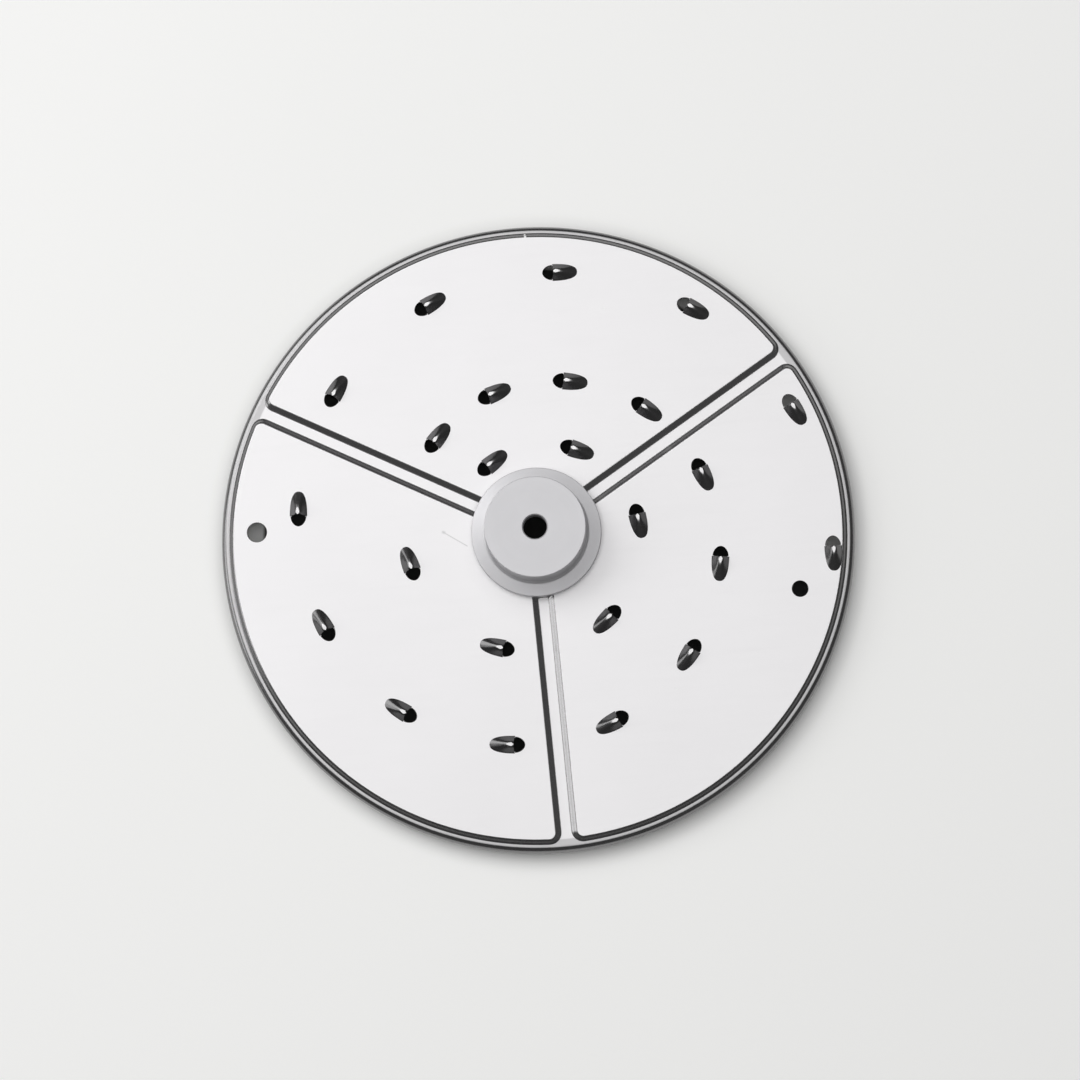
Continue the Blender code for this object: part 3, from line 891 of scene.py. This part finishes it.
@dataclass
class GratingPlate:
    """The pressed sheet: rim, three raised panels, teeth and holes."""

    radius: float = 92.5 * MM
    sheet: float = 1.0 * MM
    panel_top: float = 7.8 * MM
    press_depth: float = 1.2 * MM
    rim_foot: float = 1.6 * MM
    rim_bend: float = 2.1 * MM
    rim_band: float = 4.0 * MM
    panels: int = 3
    groove_angle: float = -90.0
    groove_run: float = 2.2 * MM
    rim_run: float = 1.8 * MM
    groove_width: float = 6.8 * MM
    corner: float = 1.6 * MM
    groove_start: float = 17.0 * MM
    end_corner: float = 1.7 * MM
    large_hole: tuple[float, float, float] = (81.8 * MM, 173.9, 2.85 * MM)
    small_hole: tuple[float, float, float] = (78.0 * MM, 342.0, 2.3 * MM)
    root_cover: float = 0.1 * MM
    margin: float = 1.0 * MM
    blank_bore: float = 4.0 * MM
    edge_break: float = 0.12 * MM
    tightest: float = 0.1 * MM
    segments: int = 288
    bore_segments: int = 96
    screw_hole_segments: int = 32
    hole_segments: int = 64
    bend_steps: int = 10
    break_steps: int = 3
    wall_steps: int = 10
    arc_steps: int = 80
    corner_steps: int = 10

    @property
    def groove_top(self) -> float:
        """Level of the grooves and the rim band."""
        return self.panel_top - self.press_depth

    def pan(self) -> Piece:
        """Return the sheet at the level of the grooves, with its rim turned down."""
        top, under, inner = self.groove_top, self.groove_top - self.sheet, self.radius - self.sheet
        bend = (self.radius - self.rim_bend, top - self.rim_bend)
        ease, foot = self.edge_break, self.rim_foot + self.edge_break
        profile = [(self.blank_bore, under), (self.blank_bore, top)]
        profile += arc(bend, self.rim_bend, 90.0, 0.0, self.bend_steps)
        profile += arc((self.radius - ease, foot), ease, 0.0, -90.0, self.break_steps)
        profile += arc((inner + ease, foot), ease, 270.0, 180.0, self.break_steps)
        profile += arc(bend, self.rim_bend - self.sheet, 0.0, 90.0, self.bend_steps // 2)
        return MeshDraft().revolve(profile, self.segments).finish("pressed_plate")

    def outline(self, groove_offset: float, rim_offset: float) -> list[Point]:
        """Return the outline of the raised panels, notched by the grooves.

        Args:
            groove_offset: How far the outline is grown into the grooves.
            rim_offset: How far it is grown into the rim band.

        Returns:
            The closed outline.
        """
        half, reach = self.groove_width / 2 - groove_offset, self.radius - self.rim_band + rim_offset
        round_off = self.corner + (groove_offset + rim_offset) / 2
        side = half + round_off
        along = math.sqrt((reach - round_off) ** 2 - side ** 2)
        lean = math.degrees(math.atan2(side, along))
        spacing = 360.0 / self.panels
        points = []
        for groove in range(self.panels):
            way = self.groove_angle + groove * spacing
            right, left = (polar(math.hypot(side, along), way + turn) for turn in (-lean, lean))
            tight = max(self.end_corner - groove_offset / 2, self.tightest)
            depth, swing = self.groove_start + groove_offset + tight, half - tight
            reach_end, turn = math.hypot(depth, swing), math.degrees(math.atan2(swing, depth))
            points += arc(right, round_off, way - lean, way + 90.0, self.corner_steps)
            for hand in (-1.0, 1.0):
                middle = polar(reach_end, way + hand * turn)
                first = way - 135.0 - hand * 45.0
                points += arc(middle, tight, first, first - 90.0, self.corner_steps // 2)
            points += arc(left, round_off, way - 90.0, way + lean, self.corner_steps)
            rim = arc((0.0, 0.0), reach, way + lean, way + spacing - lean, self.arc_steps)
            points += rim[1:-1]
        return points

    def wall_offset(self, run: float, share: float, thickness: float) -> float:
        """Return how far a wall has run out at a share of its depth, for one face of the sheet."""
        return run * share - thickness * math.tan(math.atan(self.press_depth / run) / 2)

    def pressed_form(self, name: str, thickness: float) -> Piece:
        """Return the raised panels as one solid with eased walls.

        Args:
            name: Name of the tool shape.
            thickness: The sheet's thickness for its lower face, or 0 for its upper face.

        Returns:
            The tool shape.
        """
        reach = self.sheet / 2
        rows = [(1.0 + reach / self.press_depth, self.groove_top - thickness - reach)]
        for step in range(self.wall_steps, -1, -1):
            share = step / self.wall_steps
            ease = share * share * (3 - 2 * share)
            rows.append((share, self.panel_top - thickness - self.press_depth * ease))
        rings = []
        for share, level in rows:
            groove = self.wall_offset(self.groove_run, share, thickness)
            rim = self.wall_offset(self.rim_run, share, thickness)
            rings.append([(x, y, level) for x, y in self.outline(groove, rim)])
        return MeshDraft().loft(rings).finish(name)

    def holes(self, fixing: Fixing) -> Piece:
        """Return the bore, the screw holes and the two holes near the rim as one tool."""
        levels = [self.groove_top - self.sheet - self.margin, self.panel_top + self.margin]
        draft = fixing.drill([fixing.hole] * 2, levels, self.screw_hole_segments)
        draft.stack((0.0, 0.0), [fixing.stem_bore] * 2, levels, self.bore_segments)
        for distance, angle, radius in (self.large_hole, self.small_hole):
            radii = [radius, radius, radius + self.edge_break + self.margin]
            steps = [levels[0], self.panel_top - self.edge_break, self.panel_top + self.margin]
            draft.stack(polar(distance, angle), radii, steps, self.hole_segments)
        return draft.finish("plate_holes")

    def build(self, finish: MetalFinish, tooth: ToothForm, fixing: Fixing) -> None:
        """Build and dress the plate, with its panels, teeth and holes."""
        material, plate, top = finish.build(), self.pan(), self.panel_top
        Workshop.shape(plate, [
            (Cut.JOIN, self.pressed_form("raised_panels", 0.0)),
            (Cut.REMOVE, self.pressed_form("panel_hollows", self.sheet)),
            (Cut.JOIN, tooth.hoods(top - self.sheet + self.root_cover, top, material)),
            (Cut.REMOVE, tooth.mouths(self.groove_top - self.sheet - self.margin, top, material)),
            (Cut.REMOVE, self.holes(fixing)),
        ])
        Workshop.dress(plate, material, "stainless_sheet", ["grating_plate"])


@dataclass(frozen=True)
class Lamp:
    """A round soft lamp. Its tilt is from straight up, its azimuth from +X, in degrees. A
    radiance of 1 shows as white.
    """

    name: str
    size: float
    tilt: float
    azimuth: float
    radiance: float


@dataclass
class Studio:
    """The floor, the soft lamps, the surroundings and the camera."""

    plate_level: float = 7.8 * MM
    camera_distance: float = 760.0 * MM
    camera_tilt: float = 9.0
    camera_azimuth: float = -75.0
    picture_turn: float = 5.8
    lens: float = 87.07
    sensor: float = 36.0
    clip_start: float = 0.01
    shift: Point = (0.00315, -0.00648)
    floor_half: Point = (4.0, 4.0)
    floor_depth: float = 0.02
    floor_colour: Colour = (0.90, 0.90, 0.89)
    floor_roughness: float = 0.9
    floor_sheen: float = 0.1
    cloud_scale: float = 6.0
    cloud_detail: float = 2.0
    cloud_tone: float = 0.02
    # The floor under the disc is painted dark with these, as painted shadow.
    under_disc_shadow_tone: float = 0.05
    under_disc_shadow_span: Point = (80.4 * MM, 81.4 * MM)
    # The glow brightens the floor evenly beyond glow_span; inside it the floor round the disc stays
    # darker as painted shade.
    glow: float = 0.14
    glow_span: Point = (92.0 * MM, 99.0 * MM)
    lamp_distance: float = 1.5
    lamps: tuple[Lamp, ...] = (Lamp("overhead", 2.3, 12.0, 105.0, 1.31),
                               Lamp("upper left", 0.95, 50.0, 142.0, 2.4),
                               Lamp("left", 0.82, 67.0, 176.0, 1.9))
    surroundings: float = 0.13

    def camera(self) -> None:
        """Set the camera at the photograph's viewing angle."""
        tilt, azimuth = math.radians(self.camera_tilt), math.radians(self.camera_azimuth)
        ct, st, ca, sa = math.cos(tilt), math.sin(tilt), math.cos(azimuth), math.sin(azimuth)
        back = Vector((st * ca, st * sa, ct))
        right = Vector((ct + (1 - ct) * sa * sa, -(1 - ct) * sa * ca, -st * ca))
        up = back.cross(right)
        turn = Matrix.Rotation(math.radians(-self.picture_turn), 3, "Z")
        axes = [turn @ axis for axis in (right, up, back)]
        data = bpy.data.cameras.new("camera")
        data.sensor_width = self.sensor
        data.lens = self.lens
        data.shift_x, data.shift_y = self.shift
        data.clip_start = self.clip_start
        camera = put("camera", data)
        place = Vector((0.0, 0.0, self.plate_level)) + axes[2] * self.camera_distance
        camera.matrix_world = Matrix.Translation(place) @ Matrix(axes).transposed().to_4x4()
        bpy.context.scene.camera = camera

    def hang(self, lamp: Lamp) -> None:
        """Add one lamp that faces the disc."""
        data = bpy.data.lights.new(lamp.name, "AREA")
        data.shape = "DISK"
        data.size = lamp.size
        data.energy = lamp.radiance * math.pi ** 2 * (lamp.size / 2) ** 2
        light = put(lamp.name, data)
        x, y = polar(math.sin(math.radians(lamp.tilt)), lamp.azimuth)
        back = Vector((x, y, math.cos(math.radians(lamp.tilt))))
        light.location = Vector((0.0, 0.0, self.plate_level)) + back * self.lamp_distance
        light.rotation_euler = back.to_track_quat("Z", "Y").to_euler()
        light.visible_camera = False

    def floor(self) -> None:
        """Lay the pale floor, which the metal mirrors too and which keeps the shadow.

        Under the disc its colour is painted dark as painted shadow, and its glow starts only beyond
        the disc's edge, so a ring round the disc stays darker as painted shade.
        """
        floor = MeshDraft().block(self.floor_half, (-self.floor_depth, 0.0)).finish("floor")
        paint = Paint("pale_floor")
        reach = paint.reach()
        # out: the glow starts only beyond the disc's edge, so the floor round the disc stays darker as
        # painted shade.
        out = paint.ramp(reach, self.glow_span, eased=True)
        # clear: the floor's colour painted dark under the disc, as painted shadow.
        clear = paint.ramp(reach, self.under_disc_shadow_span, (self.under_disc_shadow_tone, 1.0))
        cloud = paint.noise(paint.place, self.cloud_scale, self.cloud_detail)
        tone = paint.math("MULTIPLY_ADD", cloud, self.cloud_tone, 1.0 - self.cloud_tone)
        rays = paint.add("ShaderNodeLightPath").outputs
        seen = paint.strongest(rays[name] for name in ("Is Glossy Ray", "Is Transmission Ray",
                                                       "Is Camera Ray"))
        colour = paint.tint(self.floor_colour, paint.math("MULTIPLY", tone, clear))
        paint.wire(paint.shader, {"Base Color": colour, "Roughness": self.floor_roughness,
                                  "Specular IOR Level": self.floor_sheen})
        strength = paint.math("MULTIPLY", paint.math("MULTIPLY", seen, out), self.glow)
        glow = paint.add("ShaderNodeEmission", {"Color": (*self.floor_colour, 1.0),
                                                "Strength": strength})
        both = paint.add("ShaderNodeAddShader", {0: paint.shader.outputs[0], 1: glow.outputs[0]})
        paint.wire(paint.tree.nodes["Material Output"], {"Surface": both.outputs[0]})
        floor.data.materials.append(paint.material)

    def world(self) -> None:
        """Set the quiet grey surroundings, the same for every ray."""
        world = bpy.data.worlds.new("surroundings")
        bpy.context.scene.world = world
        world.use_nodes = True
        shader = world.node_tree.nodes["Background"]
        shader.inputs["Color"].default_value = (1.0, 1.0, 1.0, 1.0)
        shader.inputs["Strength"].default_value = self.surroundings

    def build(self) -> None:
        """Set up the camera, the floor, the lamps and the view settings."""
        self.camera()
        self.floor()
        for lamp in self.lamps:
            self.hang(lamp)
        self.world()
        bpy.context.scene.view_settings.view_transform = "Standard"
        log.info("studio: camera, floor, lamps and surroundings")


def main() -> None:
    """Build and dress the pieces in order, then the studio round them."""
    logging.basicConfig(level=logging.INFO, format="%(name)s %(message)s")
    specks = (Speck(26.3 * MM, 64.5 * MM, 0.6 * MM), Speck(35.7 * MM, -49.3 * MM, 0.6 * MM),
              Speck(5.3 * MM, 88.7 * MM, 0.5 * MM), Speck(5.2 * MM, 89.5 * MM, 0.4 * MM))
    scuffs = (Scuff((-27.0 * MM, 3.0 * MM), (-20.5 * MM, -1.7 * MM), 0.25 * MM),
              Scuff((-27.1 * MM, 3.1 * MM), (-26.8 * MM, 2.9 * MM), 0.6 * MM))
    steel = MetalFinish("satin_stainless", (0.90, 0.89, 0.90), 0.56, Grain.ROLLED, 0.5 * MM,
                        0.0008 * MM, cloud_tone=0.02, gloss_spread=0.03, matt=0.5,
                        drawn_roughness=0.22, wall_shade_tone=0.38,
                        tooth_foot=7.83 * MM, tooth_shade_tone=0.17, rim_from=88.6 * MM, rim_shade_tone=0.68,
                        scratches=0.03, specks=specks, scuffs=scuffs)
    aluminium = MetalFinish("satin_aluminium", (0.57, 0.565, 0.58), 0.42, Grain.TURNED, 0.25 * MM,
                            0.002 * MM, cloud_size=8.0 * MM, matt=0.4)
    turned = MetalFinish("turned_aluminium", (0.60, 0.60, 0.62), 0.36, Grain.TURNED, 0.3 * MM,
                         0.01 * MM, cloud_size=10.0 * MM)
    bright = MetalFinish("screw_steel", (0.58, 0.58, 0.58), 0.33, Grain.CAST, 0.2 * MM, 0.003 * MM,
                         cloud_size=3.0 * MM)
    fixing = Fixing()
    GratingPlate().build(steel, ToothForm(), fixing)
    Hub().build(aluminium, fixing)
    ClampRing().build(turned, fixing)
    HubScrews().build(bright, fixing)
    Studio().build()


if __name__ == "__main__":
    main()
